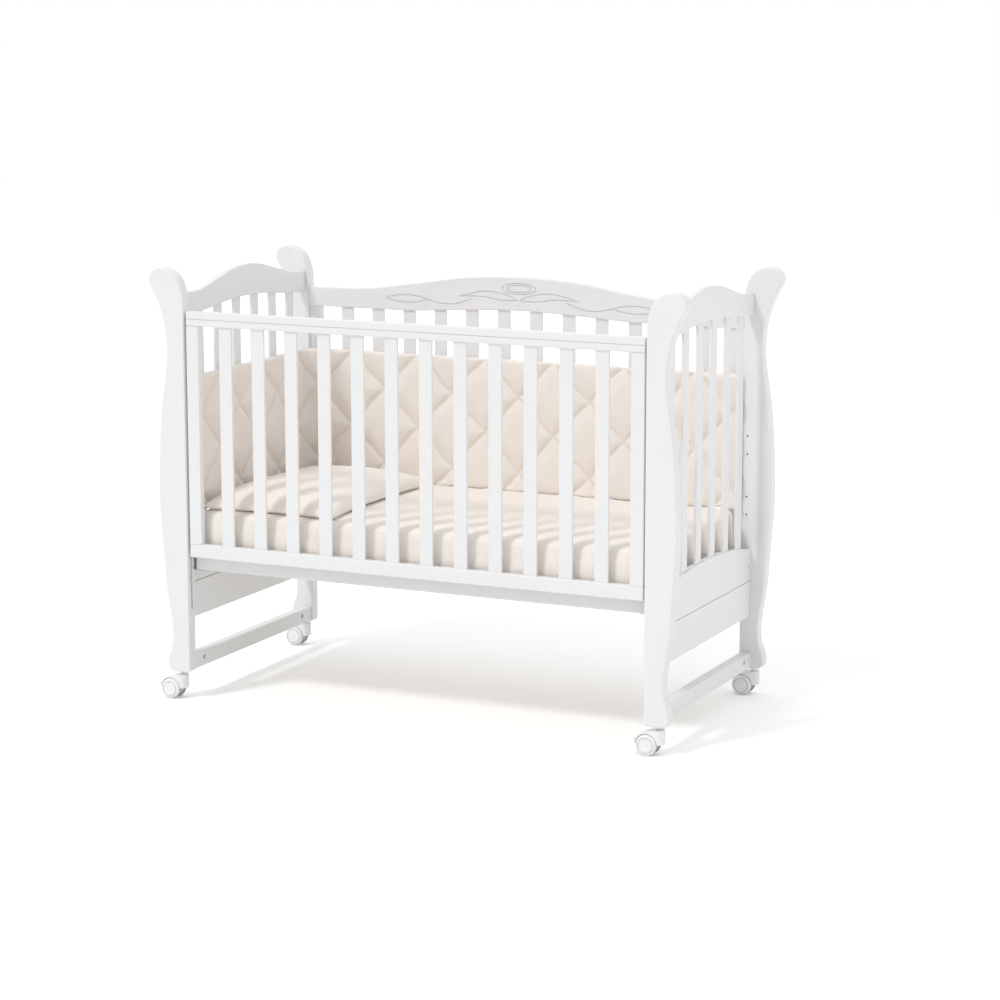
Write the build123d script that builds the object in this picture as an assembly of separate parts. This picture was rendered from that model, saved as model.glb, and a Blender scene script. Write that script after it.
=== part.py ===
"""Crib with a drop side, slatted back and ends, bedding and four twin-wheel casters.

Millimetres. X runs along the bed, Y from the drop side to the back, Z up from the floor.
"""
import os
from math import cos, radians, sin

from build123d import *

# Corner posts: sabre shapes cut from board, with a scroll on top and a flared foot
POST_THICK = 32
POST_Y = 312.75
POST_IN = 600
POST_BOTTOM = 69
POST_EDGE_R = 3.5
POST_CORNER_R = 8
SCROLL_START = (600, 985)
FOOT_END = (662, 92)
FOOT_MID = (659.6, 78)
FOOT_TIP = (650, 69)
POST_OUTLINE = [
    SCROLL_START, (606.5, 1018), (618, 1043), (637, 1057.5), (660, 1063.5),
    (680, 1059), (693, 1045), (694.5, 1029), (685, 1008), (663.5, 960),
    (648.5, 862), (664, 738), (675, 600), (677, 480), (668.8, 365),
    (658, 246), (650, 200), (647.5, 160), (652, 128), (660, 106), FOOT_END,
]
HEIGHT_HOLE_X = 613.7
HEIGHT_HOLE_Z = (454, 499, 604, 649)
HEIGHT_HOLE_D = 5
HEIGHT_HOLE_DEEP = 10

# Groove in each front post, and the entry wedge beside it
GROOVE_Y = -311.85
GROOVE_WIDE = 8
GROOVE_DEEP = 9
GROOVE_LOW = 226
GROOVE_HIGH = 947.2
WEDGE_LOW = 273
WEDGE_HIGH = 314
WEDGE_WIDE = 3.5

# Boards and slats
BOARD_THICK = 18
SLAT_WIDE = 34
SLAT_THICK = 7
SLAT_PITCH = 89.1
SLAT_EDGE_R = 1.6
SLAT_TENON = 12
RAIL_EDGE_R = 3
BOARD_CORNER_R = 9
LEVEL_ENDS = {"tangents": [(1, 0), (1, 0)], "tangent_scalars": [0.5, 0.5]}

# End panels, between the post faces
END_IN = 609
END_MID = END_IN + BOARD_THICK / 2
POST_FACE_Y = POST_Y - POST_THICK / 2
END_SLAT_Y = (45, 135, 225)
ARCH_TOP = [(0, 1045), (70, 1039.5), (115, 1030), (160, 1019), (205, 1008), (245, 1002.5), (POST_FACE_Y, 1000.5)]
ARCH_UNDER = [(0, 966), (65, 964.5), (120, 960), (185, 953), (250, 949), (POST_FACE_Y, 947)]
LOWER_BOARD_Z = (201, 289.3)
UPPER_BOARD_LOW = 290.5
UPPER_BOARD_END = 369
UPPER_BOARD_CROWN = 398
STRETCHER_X = (604.5, 631.5)
STRETCHER_Z = (71, 110)
STRETCHER_HOLE_Y = 250
STRETCHER_HOLE_Z = 93
STRETCHER_HOLE_D = 13

# Back panel, between the rear posts
BACK_FACE_Y = 298.55
BACK_MID_Y = BACK_FACE_Y + BOARD_THICK / 2
BACK_SLAT_Y = 304.05
BACK_TOP_EDGE = [(0, 1009), (85, 1007), (160, 1001.5), (258, 986.5), (347, 973.5), (430, 962.5), (500, 959.5)]
BACK_UNDER_EDGE = [(0, 924.5), (120, 920.7), (218, 915.5), (310, 910)]
BACK_RAIL_END_Z = (910, 959.5)
LOW_RAIL_Z = (358.6, 392.3)
BACK_SLATS = 14

# Routed ornament on the back rail
CARVE_DEEP = 2.4
CARVE_WIDE = 2.6
OVAL_Z = 980
OVAL_OUTER = (48, 15)
OVAL_INNER = (33.5, 10)

# Drop side, raised
DROP_HALF = 595.5
DROP_FACE_Y = -324.35
DROP_TOP_Z = (925.4, 961)
DROP_SLAT_Y = -319.35
DROP_SLATS = 12
DROP_LINE_Z = 942.6
DROP_LINE_WIDE = 1.6
DROP_LINE_DEEP = 1.6
STILE_TENON_WIDE = 24
STILE_TENON_THICK = 8
GUIDE_PIN_D = 7.4
GUIDE_PIN_IN = 20
GUIDE_PIN_OUT = 11.5

# Mattress base on four steel brackets
BASE_HALF_X = 595
BASE_OUT_Y = 295.35
BASE_Z = (323.5, 367)
BASE_SLAT_THICK = 12
BASE_SLAT_WIDE = 60
BASE_SLAT_PITCH = 98
BASE_SLATS = 12
REBATE = 9
BRACKET_THICK = 2.5
BRACKET_Y = (273, 291)
BRACKET_TALL = 24
BRACKET_FOOT = 34
SCREW_Z = 329
SCREW_D = 4.2
SCREW_LONG = 13
SCREW_HEAD_D = 8
SCREW_HEAD_THICK = 2.2
PILOT_MOUTH_D = 5.5
PILOT_MOUTH_DEEP = 4
RAIL_SCREW_X = 588
RAIL_SCREW_Y = 286

# Dowels between posts and panels
DOWEL_D = 8
DOWEL_IN_RAIL = 24
DOWEL_IN_POST = 14
END_DOWEL_Z = (90, 225, 268, 318, 350, 964, 986)
BACK_DOWEL_Z = (369, 930, 948)

# Bedding
SOFT_GAP = 0.4
MATTRESS = (1190, 590)
MATTRESS_TOP = 467
MATTRESS_CORNER_R = 45
MATTRESS_EDGE_R = 14
BUMPER_THICK = 20
BUMPER_TOP = 803
BUMPER_OUT_X = 607
BUMPER_OUT_Y = 296
BUMPER_FRONT_Y = -288
BUMPER_RIGHT_X = 600
BUMPER_CORNER_R = 42
BUMPER_EDGE_R = 9
PILLOW_CENTRE = (-400, -22)
PILLOW_SIZE = (366, 530)
PILLOW_DRAWN_IN = 14
PILLOW_DRAWN_FADE = 62
PILLOW_LEVELS = [(0, 52), (6, 22), (18, 4), (28, 0), (38, 8), (50, 34), (58, 78), (61, 125)]

# Casters: twin wheels behind the stem, under a hood flush with the wheel faces
STEM_X = 631.7
STEM_D = 8
STEM_TOP = 104
STEM_LOW = 31.5
FLANGE_LOW = 67.5
FLANGE_D = 25
STEM_BORE_D = 8.12
TRAIL = 23.5
WHEEL_R = 25.5
WHEEL_FACE_R = 25
TYRE_IN_R = 22.5
WHEEL_IN_Y = 8.8
TYRE_OUT_Y = 15.2
RIM_OUT_Y = 16.5
SHOULDER = (20.6, 22.5)
SHOULDER_MID = (23.9, 20)
WHEEL_OUT_Y = 23.15
RING_R = (16.5, 19.2)
RING_DEEP = 2.6
AXLE_D = 6
AXLE_BORE_D = 6.12
AXLE_HALF = 20.5
HOOD_HALF = 18
HOOD_TAIL_R = 28.2
HOOD_TOP = [(-14.4, 26), (0, 31), (12, 33.2)]
HOOD_CREST = 34.8
HOOD_ROUND_R = 6
HOOD_CLEAR_R = 26.4
HOOD_WEB = 8
HOOD_TAIL_DEG = 150
HOOD_FRONT_X = 16
HOOD_LOW = 27
AXLE_LUG_R = 7
LEVER_SLOT = 4.2
LEVER_SLOT_ROOM = 5.5
LEVER_SLOT_LOW = -10
LEVER_TONGUE = 3.6
LEVER_PIVOT = (-18.2, 12.3)
LEVER_PIN_D = 3
LEVER_PIN_BORE_D = 3.12
LEVER_EYE_R = 3.6
LEVER_TIP_R = 1.1
LEVER_R = (27.6, 30)
LEVER_DEG = (154, 180)
TAB_R = 35.5
TAB_INSET = 3
TAB_DEG = (160, 172)


def block(x, y, z):
    """Block between pairs of X, Y and Z limits."""
    size = (x[1] - x[0], y[1] - y[0], z[1] - z[0])
    middle = (sum(x) / 2, sum(y) / 2, sum(z) / 2)
    return Pos(*middle) * Box(*size)


def eased(solid, radius):
    """Solid with every edge rounded."""
    return fillet(solid.edges(), radius)


def rod(start, axis, length, diameter):
    """Round bar from a start point along +X, +Y or +Z."""
    turn = {"x": Rot(0, 90, 0), "y": Rot(-90, 0, 0), "z": Rot(0, 0, 0)}[axis]
    bar = Cylinder(diameter / 2, length, align=(Align.CENTER, Align.CENTER, Align.MIN))
    return Pos(*start) * turn * bar


def plate_xz(face, y_low, y_high):
    """Flat shape in X and Z given a thickness along Y."""
    return extrude(Plane.XZ.offset(-y_high) * face, y_high - y_low)


def plate_yz(face, x_low, x_high):
    """Flat shape in Y and Z given a thickness along X."""
    return extrude(Plane.YZ.offset(x_low) * face, x_high - x_low)


def flipped(points):
    """Points mirrored in the first coordinate, in reverse order."""
    return [(-a, b) for a, b in reversed(points)]


def arched_face(top, under):
    """Face between two arched edges, each given from the crown to one end."""
    upper = flipped(top[1:]) + top
    lower = flipped(under[1:]) + under
    edges = Spline(*upper, **LEVEL_ENDS)
    edges += Spline(*lower, **LEVEL_ENDS)
    edges += Line(upper[0], lower[0])
    edges += Line(upper[-1], lower[-1])
    return make_face(edges)


def both_sides(solids):
    """Solids of the right half together with their mirror images."""
    return solids + [mirror(solid, Plane.YZ) for solid in solids]


def cut_all(solid, tools):
    """Solid with every tool taken out."""
    for tool in tools:
        solid = solid - tool
    return solid


def end_dowels(sign_y):
    """Dowels of the right end panel into one post."""
    start = POST_FACE_Y - DOWEL_IN_RAIL
    if sign_y < 0:
        start = -POST_FACE_Y - DOWEL_IN_POST
    length = DOWEL_IN_RAIL + DOWEL_IN_POST
    return [rod((END_MID, start, z), "y", length, DOWEL_D) for z in END_DOWEL_Z]


def back_dowels():
    """Dowels of the back panel into the right rear post."""
    length = DOWEL_IN_RAIL + DOWEL_IN_POST - 2
    start = POST_IN - DOWEL_IN_RAIL
    return [rod((start, BACK_MID_Y, z), "x", length, DOWEL_D) for z in BACK_DOWEL_Z]


RIGHT_DOWELS = end_dowels(-1) + end_dowels(1) + back_dowels()
ALL_DOWELS = both_sides(RIGHT_DOWELS)


def post_blank():
    """Right post about Y = 0, with rounded edges."""
    low = POST_BOTTOM
    corner = POST_CORNER_R
    edges = Line((POST_IN, low + corner), SCROLL_START)
    edges += Spline(*POST_OUTLINE, tangents=[(0, 1), (0, -1)], tangent_scalars=[1, 0.5])
    edges += ThreePointArc(FOOT_END, FOOT_MID, FOOT_TIP)
    edges += Line(FOOT_TIP, (POST_IN + corner, low))
    bend = corner * (1 - cos(radians(45)))
    edges += ThreePointArc((POST_IN + corner, low), (POST_IN + bend, low + bend), (POST_IN, low + corner))
    blank = plate_xz(make_face(edges), -POST_THICK / 2, POST_THICK / 2)
    rims = blank.edges().group_by(Axis.Y)
    return fillet(rims[0] + rims[-1], POST_EDGE_R)


def guide_groove():
    """Groove and entry wedge in the right front post."""
    half = GROOVE_WIDE / 2
    wall = (POST_IN - 5, POST_IN + GROOVE_DEEP)
    groove = block(wall, (GROOVE_Y - half, GROOVE_Y + half), (GROOVE_LOW + half, GROOVE_HIGH - half))
    length = wall[1] - wall[0]
    for z in (GROOVE_LOW + half, GROOVE_HIGH - half):
        groove += rod((wall[0], GROOVE_Y, z), "x", length, GROOVE_WIDE)
    side = GROOVE_Y - half
    wedge = make_face(Polyline((side + 1, WEDGE_LOW), (side + 1, WEDGE_HIGH),
                               (side - WEDGE_WIDE, WEDGE_HIGH), (side, WEDGE_LOW), close=True))
    return groove + plate_yz(wedge, *wall)


def post(sign_y):
    """Right front or right rear post with its holes."""
    solid = Pos(0, sign_y * POST_Y, 0) * post_blank()
    solid -= rod((STEM_X, sign_y * POST_Y, POST_BOTTOM - 1), "z", STEM_TOP - POST_BOTTOM + 2, STEM_D)
    face = POST_FACE_Y - 1
    if sign_y < 0:
        face = -POST_FACE_Y - HEIGHT_HOLE_DEEP
    for z in HEIGHT_HOLE_Z:
        solid -= rod((HEIGHT_HOLE_X, face, z), "y", HEIGHT_HOLE_DEEP + 1, HEIGHT_HOLE_D)
    if sign_y < 0:
        solid -= guide_groove()
    return cut_all(solid, RIGHT_DOWELS)


def upper_board_edge(y):
    """Height of the upper board's arched edge."""
    rise = UPPER_BOARD_CROWN - UPPER_BOARD_END
    radius = (POST_FACE_Y ** 2 + rise ** 2) / (2 * rise)
    return UPPER_BOARD_CROWN - radius + (radius ** 2 - y ** 2) ** 0.5


def arch_under_at(y):
    """Height of the end rail's underside."""
    for (y0, z0), (y1, z1) in zip(ARCH_UNDER, ARCH_UNDER[1:]):
        if y0 <= y <= y1:
            return z0 + (z1 - z0) * (y - y0) / (y1 - y0)
    return ARCH_UNDER[-1][1]


def slat(x, y, z):
    """Thin slat with eased long edges."""
    bar = block(x, y, z)
    return fillet(bar.edges().filter_by(Axis.Z), SLAT_EDGE_R)


def end_slats():
    """Six slats of the right end."""
    x = (END_MID - SLAT_THICK / 2, END_MID + SLAT_THICK / 2)
    slats = []
    for middle in [-y for y in END_SLAT_Y] + list(END_SLAT_Y):
        z = (upper_board_edge(middle) - SLAT_TENON, arch_under_at(abs(middle)) + SLAT_TENON)
        slats.append(slat(x, (middle - SLAT_WIDE / 2, middle + SLAT_WIDE / 2), z))
    return slats


def long_rims(solid, axis):
    """Edges round the two broad faces that look along an axis."""
    groups = solid.edges().group_by(axis)
    return groups[0] + groups[-1]


def end_top_rail():
    """Arched rail of the right end."""
    rail = plate_yz(arched_face(ARCH_TOP, ARCH_UNDER), END_IN, END_IN + BOARD_THICK)
    rail = fillet(long_rims(rail, Axis.X), RAIL_EDGE_R)
    return cut_all(rail, end_slats() + RIGHT_DOWELS)


def end_upper_board():
    """Arched board under the right end's slats."""
    low = UPPER_BOARD_LOW
    left = (-POST_FACE_Y, UPPER_BOARD_END)
    right = (POST_FACE_Y, UPPER_BOARD_END)
    edges = ThreePointArc(left, (0, UPPER_BOARD_CROWN), right)
    edges += Polyline(right, (POST_FACE_Y, low), (-POST_FACE_Y, low), left)
    face = make_face(edges)
    tops = face.vertices().group_by(Axis.Y)[-1]
    board = plate_yz(fillet(tops, BOARD_CORNER_R), END_IN, END_IN + BOARD_THICK)
    board = fillet(long_rims(board, Axis.X), RAIL_EDGE_R / 2)
    return cut_all(board, end_slats() + RIGHT_DOWELS + screw_holes())


def end_lower_board():
    """Plain board below the right end's arched one."""
    board = block((END_IN, END_IN + BOARD_THICK), (-POST_FACE_Y, POST_FACE_Y), LOWER_BOARD_Z)
    low = board.edges().filter_by(Axis.X).group_by(Axis.Z)[0]
    board = fillet(low, BOARD_CORNER_R)
    board = fillet(long_rims(board, Axis.X), RAIL_EDGE_R / 2)
    return cut_all(board, RIGHT_DOWELS)


def end_stretcher():
    """Low stretcher of the right end with its two cross holes."""
    bar = block(STRETCHER_X, (-POST_FACE_Y, POST_FACE_Y), STRETCHER_Z)
    bar = fillet(bar.edges().filter_by(Axis.Y), RAIL_EDGE_R)
    length = STRETCHER_X[1] - STRETCHER_X[0] + 2
    for y in (-STRETCHER_HOLE_Y, STRETCHER_HOLE_Y):
        bar -= rod((STRETCHER_X[0] - 1, y, STRETCHER_HOLE_Z), "x", length, STRETCHER_HOLE_D)
    return cut_all(bar, RIGHT_DOWELS)


def row_of_slats(count, y_low, z):
    """Evenly spaced slats along X, centred on the bed."""
    slats = []
    for index in range(count):
        middle = (index - (count - 1) / 2) * SLAT_PITCH
        x = (middle - SLAT_WIDE / 2, middle + SLAT_WIDE / 2)
        slats.append(slat(x, (y_low, y_low + SLAT_THICK), z))
    return slats


def back_under_at(x):
    """Height of the back rail's underside."""
    last = BACK_UNDER_EDGE[-1]
    for (x0, z0), (x1, z1) in zip(BACK_UNDER_EDGE, BACK_UNDER_EDGE[1:]):
        if x0 <= x <= x1:
            return z0 + (z1 - z0) * (x - x0) / (x1 - x0)
    return last[1]


def back_slats():
    """Slats of the back, each into the arched rail above it."""
    slats = []
    for index in range(BACK_SLATS):
        middle = (index - (BACK_SLATS - 1) / 2) * SLAT_PITCH
        z = (LOW_RAIL_Z[1] - SLAT_TENON, back_under_at(abs(middle)) + SLAT_TENON)
        x = (middle - SLAT_WIDE / 2, middle + SLAT_WIDE / 2)
        slats.append(slat(x, (BACK_SLAT_Y, BACK_SLAT_Y + SLAT_THICK), z))
    return slats


def back_rail_face():
    """Outline of the arched back rail."""
    top = flipped(BACK_TOP_EDGE[1:]) + BACK_TOP_EDGE
    under = flipped(BACK_UNDER_EDGE[1:]) + BACK_UNDER_EDGE
    edges = Spline(*top, **LEVEL_ENDS)
    edges += Spline(*under, **LEVEL_ENDS)
    for sign in (-1, 1):
        edges += Polyline((sign * top[-1][0], BACK_RAIL_END_Z[1]), (sign * POST_IN, BACK_RAIL_END_Z[1]),
                          (sign * POST_IN, BACK_RAIL_END_Z[0]), (sign * under[-1][0], BACK_RAIL_END_Z[0]))
    return make_face(edges)


def leaf_lines():
    """Routed leaf, its vein, tendril and almond on the right of the ornament."""
    tip = (164.4, 955.3)
    start = (4, 951)
    upper = Spline(start, (28, 962), (62, 969), (92, 970.5), (128, 964.5), tip)
    lower = Spline(start, (30, 949.5), (62, 951), (90, 955.5), (125, 957), tip)
    tendril = Spline((132, 950), (158, 940), (186, 933.5), (222, 935), (255, 942))
    over = ThreePointArc((255, 942), (317, 951.6), (374, 941))
    below = ThreePointArc((255, 942), (317, 932), (374, 941))
    return [upper, lower, tendril, over, below]


def carving():
    """Shallow routed lines of the back rail's ornament."""
    lines = leaf_lines()
    faces = [trace(line, CARVE_WIDE) for line in lines]
    cutters = [plate_xz(face, BACK_FACE_Y - 1, BACK_FACE_Y + CARVE_DEEP) for face in faces]
    cutters = both_sides(cutters)
    for half_x, half_z in (OVAL_OUTER, OVAL_INNER):
        ring = Ellipse(half_x, half_z) - Ellipse(half_x - CARVE_WIDE, half_z - CARVE_WIDE)
        cutters.append(plate_xz(Pos(0, OVAL_Z) * ring, BACK_FACE_Y - 1, BACK_FACE_Y + CARVE_DEEP))
    return cutters


def back_top_rail():
    """Arched back rail with its ornament."""
    rail = plate_xz(back_rail_face(), BACK_FACE_Y, BACK_FACE_Y + BOARD_THICK)
    rail = fillet(long_rims(rail, Axis.Y), RAIL_EDGE_R)
    return cut_all(rail, carving() + back_slats() + ALL_DOWELS)


def back_bottom_rail():
    """Straight rail that the back slats stand in."""
    rail = block((-POST_IN, POST_IN), (BACK_FACE_Y, BACK_FACE_Y + BOARD_THICK), LOW_RAIL_Z)
    rail = fillet(rail.edges().filter_by(Axis.X), RAIL_EDGE_R)
    return cut_all(rail, back_slats() + ALL_DOWELS)


def drop_slats():
    """Slats of the drop side."""
    z = (LOW_RAIL_Z[1] - SLAT_TENON, DROP_TOP_Z[0] + SLAT_TENON)
    return row_of_slats(DROP_SLATS, DROP_SLAT_Y, z)


def drop_stile():
    """Right stile of the drop side with its stub tenons."""
    x = (DROP_HALF - SLAT_WIDE, DROP_HALF)
    stile = block(x, (DROP_FACE_Y, DROP_FACE_Y + BOARD_THICK), (LOW_RAIL_Z[1], DROP_TOP_Z[0]))
    stile = fillet(stile.edges().filter_by(Axis.Z), RAIL_EDGE_R)
    middle = sum(x) / 2
    tenon_x = (middle - STILE_TENON_WIDE / 2, middle + STILE_TENON_WIDE / 2)
    middle = DROP_FACE_Y + BOARD_THICK / 2
    tenon_y = (middle - STILE_TENON_THICK / 2, middle + STILE_TENON_THICK / 2)
    return stile + block(tenon_x, tenon_y, (LOW_RAIL_Z[1] - SLAT_TENON, DROP_TOP_Z[0] + SLAT_TENON))


def guide_pins():
    """Four steel pins in the ends of the drop side's rails."""
    start = DROP_HALF - GUIDE_PIN_IN
    length = GUIDE_PIN_IN + GUIDE_PIN_OUT
    levels = [sum(z) / 2 for z in (LOW_RAIL_Z, DROP_TOP_Z)]
    return both_sides([rod((start, GROOVE_Y, z), "x", length, GUIDE_PIN_D) for z in levels])


def drop_rail(z):
    """Blank of a drop side rail, cut for stiles, slats and pins."""
    rail = block((-DROP_HALF, DROP_HALF), (DROP_FACE_Y, DROP_FACE_Y + BOARD_THICK), z)
    rail = eased(rail, RAIL_EDGE_R)
    return cut_all(rail, both_sides([drop_stile()]) + drop_slats() + guide_pins())


def drop_top_rail():
    """Top rail of the drop side with its routed line."""
    half = DROP_LINE_WIDE / 2
    line = block((-DROP_HALF - 1, DROP_HALF + 1), (DROP_FACE_Y - 1, DROP_FACE_Y + DROP_LINE_DEEP),
                 (DROP_LINE_Z - half, DROP_LINE_Z + half))
    return drop_rail(DROP_TOP_Z) - line


def base_slats():
    """Slats across the mattress base, let into the side rails."""
    slats = []
    reach = BASE_OUT_Y - REBATE
    z = (BASE_Z[1] - BASE_SLAT_THICK, BASE_Z[1])
    for index in range(BASE_SLATS):
        middle = (index - (BASE_SLATS - 1) / 2) * BASE_SLAT_PITCH
        slats.append(block((middle - BASE_SLAT_WIDE / 2, middle + BASE_SLAT_WIDE / 2), (-reach, reach), z))
    return slats


def rail_screws():
    """Screws up through the brackets into the base's side rails, right end."""
    screws = []
    for y in (-RAIL_SCREW_Y, RAIL_SCREW_Y):
        shank = rod((RAIL_SCREW_X, y, BASE_Z[0] - BRACKET_THICK), "z", SCREW_LONG + BRACKET_THICK, SCREW_D)
        head_z = BASE_Z[0] - BRACKET_THICK - SCREW_HEAD_THICK
        screws.append(shank + rod((RAIL_SCREW_X, y, head_z), "z", SCREW_HEAD_THICK, SCREW_HEAD_D))
    return screws


def board_screws():
    """Screws from the brackets into the right end's upper board."""
    screws = []
    face = END_IN - BRACKET_THICK
    for y in (-sum(BRACKET_Y) / 2, sum(BRACKET_Y) / 2):
        shank = rod((face, y, SCREW_Z), "x", SCREW_LONG + BRACKET_THICK, SCREW_D)
        head_x = face - SCREW_HEAD_THICK
        screws.append(shank + rod((head_x, y, SCREW_Z), "x", SCREW_HEAD_THICK, SCREW_HEAD_D))
    return screws


def screw_holes():
    """Through holes for the board screws, wider at the outer face."""
    holes = []
    outer = END_IN + BOARD_THICK
    for y in (-sum(BRACKET_Y) / 2, sum(BRACKET_Y) / 2):
        hole = rod((END_IN - 1, y, SCREW_Z), "x", BOARD_THICK + 2, SCREW_D)
        holes.append(hole + rod((outer - PILOT_MOUTH_DEEP, y, SCREW_Z), "x", PILOT_MOUTH_DEEP + 1, PILOT_MOUTH_D))
    return holes


def brackets():
    """Steel angles under the right end of the base."""
    angles = []
    foot_z = (BASE_Z[0] - BRACKET_THICK, BASE_Z[0])
    for sign in (-1, 1):
        y = sorted((sign * BRACKET_Y[0], sign * BRACKET_Y[1]))
        foot = block((END_IN - BRACKET_FOOT, END_IN), y, foot_z)
        leg = block((END_IN - BRACKET_THICK, END_IN), y, (foot_z[0], foot_z[0] + BRACKET_TALL))
        angles.append(cut_all(foot + leg, rail_screws() + board_screws()))
    return angles


def base_side_rail(sign):
    """Side rail of the mattress base, rebated for the slats."""
    y = sorted((sign * BASE_OUT_Y, sign * (BASE_OUT_Y - BOARD_THICK)))
    rail = block((-BASE_HALF_X, BASE_HALF_X), y, BASE_Z)
    rail = fillet(rail.edges().filter_by(Axis.X), SLAT_EDGE_R)
    inner = sorted((sign * (BASE_OUT_Y - REBATE), sign * (BASE_OUT_Y - BOARD_THICK - 1)))
    rail -= block((-BASE_HALF_X - 1, BASE_HALF_X + 1), inner, (BASE_Z[1] - BASE_SLAT_THICK, BASE_Z[1] + 1))
    return cut_all(rail, both_sides(rail_screws()))


def base_cross_rail():
    """Right cross rail between the base's side rails."""
    reach = BASE_OUT_Y - BOARD_THICK
    z = (BASE_Z[0], BASE_Z[1] - BASE_SLAT_THICK)
    return block((BASE_HALF_X - BOARD_THICK, BASE_HALF_X), (-reach, reach), z)


def mattress():
    """Mattress in a fitted sheet."""
    pad = block((-MATTRESS[0] / 2, MATTRESS[0] / 2), (-MATTRESS[1] / 2, MATTRESS[1] / 2),
                (BASE_Z[1] + SOFT_GAP, MATTRESS_TOP))
    pad = fillet(pad.edges().filter_by(Axis.Z), MATTRESS_CORNER_R)
    return fillet(long_rims(pad, Axis.Z), MATTRESS_EDGE_R)


def bumper_plan():
    """Plan of the left bumper pad: a straight run and the rounded rear corner."""
    outer = BUMPER_CORNER_R
    inner = BUMPER_CORNER_R - BUMPER_THICK
    centre = (outer - BUMPER_OUT_X, BUMPER_OUT_Y - outer)
    diagonal = cos(radians(45))
    edges = ThreePointArc((-BUMPER_OUT_X, centre[1]),
                          (centre[0] - outer * diagonal, centre[1] + outer * diagonal),
                          (centre[0], BUMPER_OUT_Y))
    edges += Line((centre[0], BUMPER_OUT_Y), (centre[0], BUMPER_OUT_Y - BUMPER_THICK))
    edges += ThreePointArc((centre[0], BUMPER_OUT_Y - BUMPER_THICK),
                           (centre[0] - inner * diagonal, centre[1] + inner * diagonal),
                           (BUMPER_THICK - BUMPER_OUT_X, centre[1]))
    edges += Polyline((BUMPER_THICK - BUMPER_OUT_X, centre[1]),
                      (BUMPER_THICK - BUMPER_OUT_X, BUMPER_FRONT_Y),
                      (-BUMPER_OUT_X, BUMPER_FRONT_Y), (-BUMPER_OUT_X, centre[1]))
    return make_face(edges)


def bumper_left():
    """Bumper pad along the left end and round the rear corner."""
    low = MATTRESS_TOP + SOFT_GAP
    pad = extrude(Pos(0, 0, low) * bumper_plan(), BUMPER_TOP - low)
    return fillet(long_rims(pad, Axis.Z), BUMPER_EDGE_R)


def bumper_back():
    """Bumper pad along the back, from the rounded corner to the right end."""
    left = BUMPER_CORNER_R + SOFT_GAP - BUMPER_OUT_X
    pad = block((left, BUMPER_RIGHT_X), (BUMPER_OUT_Y - BUMPER_THICK, BUMPER_OUT_Y),
                (MATTRESS_TOP + SOFT_GAP, BUMPER_TOP))
    return fillet(pad.edges().filter_by(Axis.X), BUMPER_EDGE_R)


def pillow_ring(height, inset):
    """Level outline of the pillow with drawn-in sides."""
    x = PILLOW_SIZE[0] / 2 - inset
    y = PILLOW_SIZE[1] / 2 - inset
    pull = PILLOW_DRAWN_IN * (1 - inset / PILLOW_DRAWN_FADE)
    corners = [(x, y), (-x, y), (-x, -y), (x, -y)]
    middles = [(0, y - pull), (-x + pull, 0), (0, -y + pull), (x - pull, 0)]
    edges = Curve()
    for index, middle in enumerate(middles):
        edges += ThreePointArc(corners[index], middle, corners[(index + 1) % 4])
    return Pos(0, 0, height) * make_face(edges)


def pillow():
    """Flat pillow: crowned both sides of a seam, with drawn-in edges."""
    low = MATTRESS_TOP + SOFT_GAP
    rings = [pillow_ring(height, inset) for height, inset in PILLOW_LEVELS]
    return Pos(*PILLOW_CENTRE, low) * loft(rings, ruled=True)


def ring_sector(radii, degrees, half_width):
    """Curved strip about the wheel's centre, across the caster."""
    angles = [degrees[0], sum(degrees) / 2, degrees[1]]
    outer = [(radii[1] * cos(radians(a)), radii[1] * sin(radians(a))) for a in angles]
    inner = [(radii[0] * cos(radians(a)), radii[0] * sin(radians(a))) for a in angles]
    edges = ThreePointArc(*outer)
    edges += Line(outer[-1], inner[-1])
    edges += ThreePointArc(*reversed(inner))
    edges += Line(inner[0], outer[0])
    return plate_xz(make_face(edges), -half_width, half_width)


def hood_profile():
    """Side outline of the hood about the wheel's centre."""
    tail = radians(HOOD_TAIL_DEG)
    low = HOOD_LOW - WHEEL_R
    front = TRAIL + HOOD_FRONT_X
    level = front - HOOD_ROUND_R
    tail_point = (HOOD_TAIL_R * cos(tail), HOOD_TAIL_R * sin(tail))
    edges = Spline(tail_point, *HOOD_TOP, (TRAIL, HOOD_CREST))
    edges += Line((TRAIL, HOOD_CREST), (level, HOOD_CREST))
    edges += RadiusArc((level, HOOD_CREST), (front, HOOD_CREST - HOOD_ROUND_R), HOOD_ROUND_R)
    edges += Polyline((front, HOOD_CREST - HOOD_ROUND_R), (front, low), (0, low), tail_point)
    return make_face(edges)


def hood_plan():
    """Plan of the hood: square behind, round at the front."""
    centre = TRAIL + HOOD_FRONT_X - HOOD_HALF
    length = centre + HOOD_TAIL_R
    return Rectangle(length, 2 * HOOD_HALF, align=(Align.MAX, Align.CENTER)).moved(Pos(centre, 0)) \
        + Pos(centre, 0) * Circle(HOOD_HALF)


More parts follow.
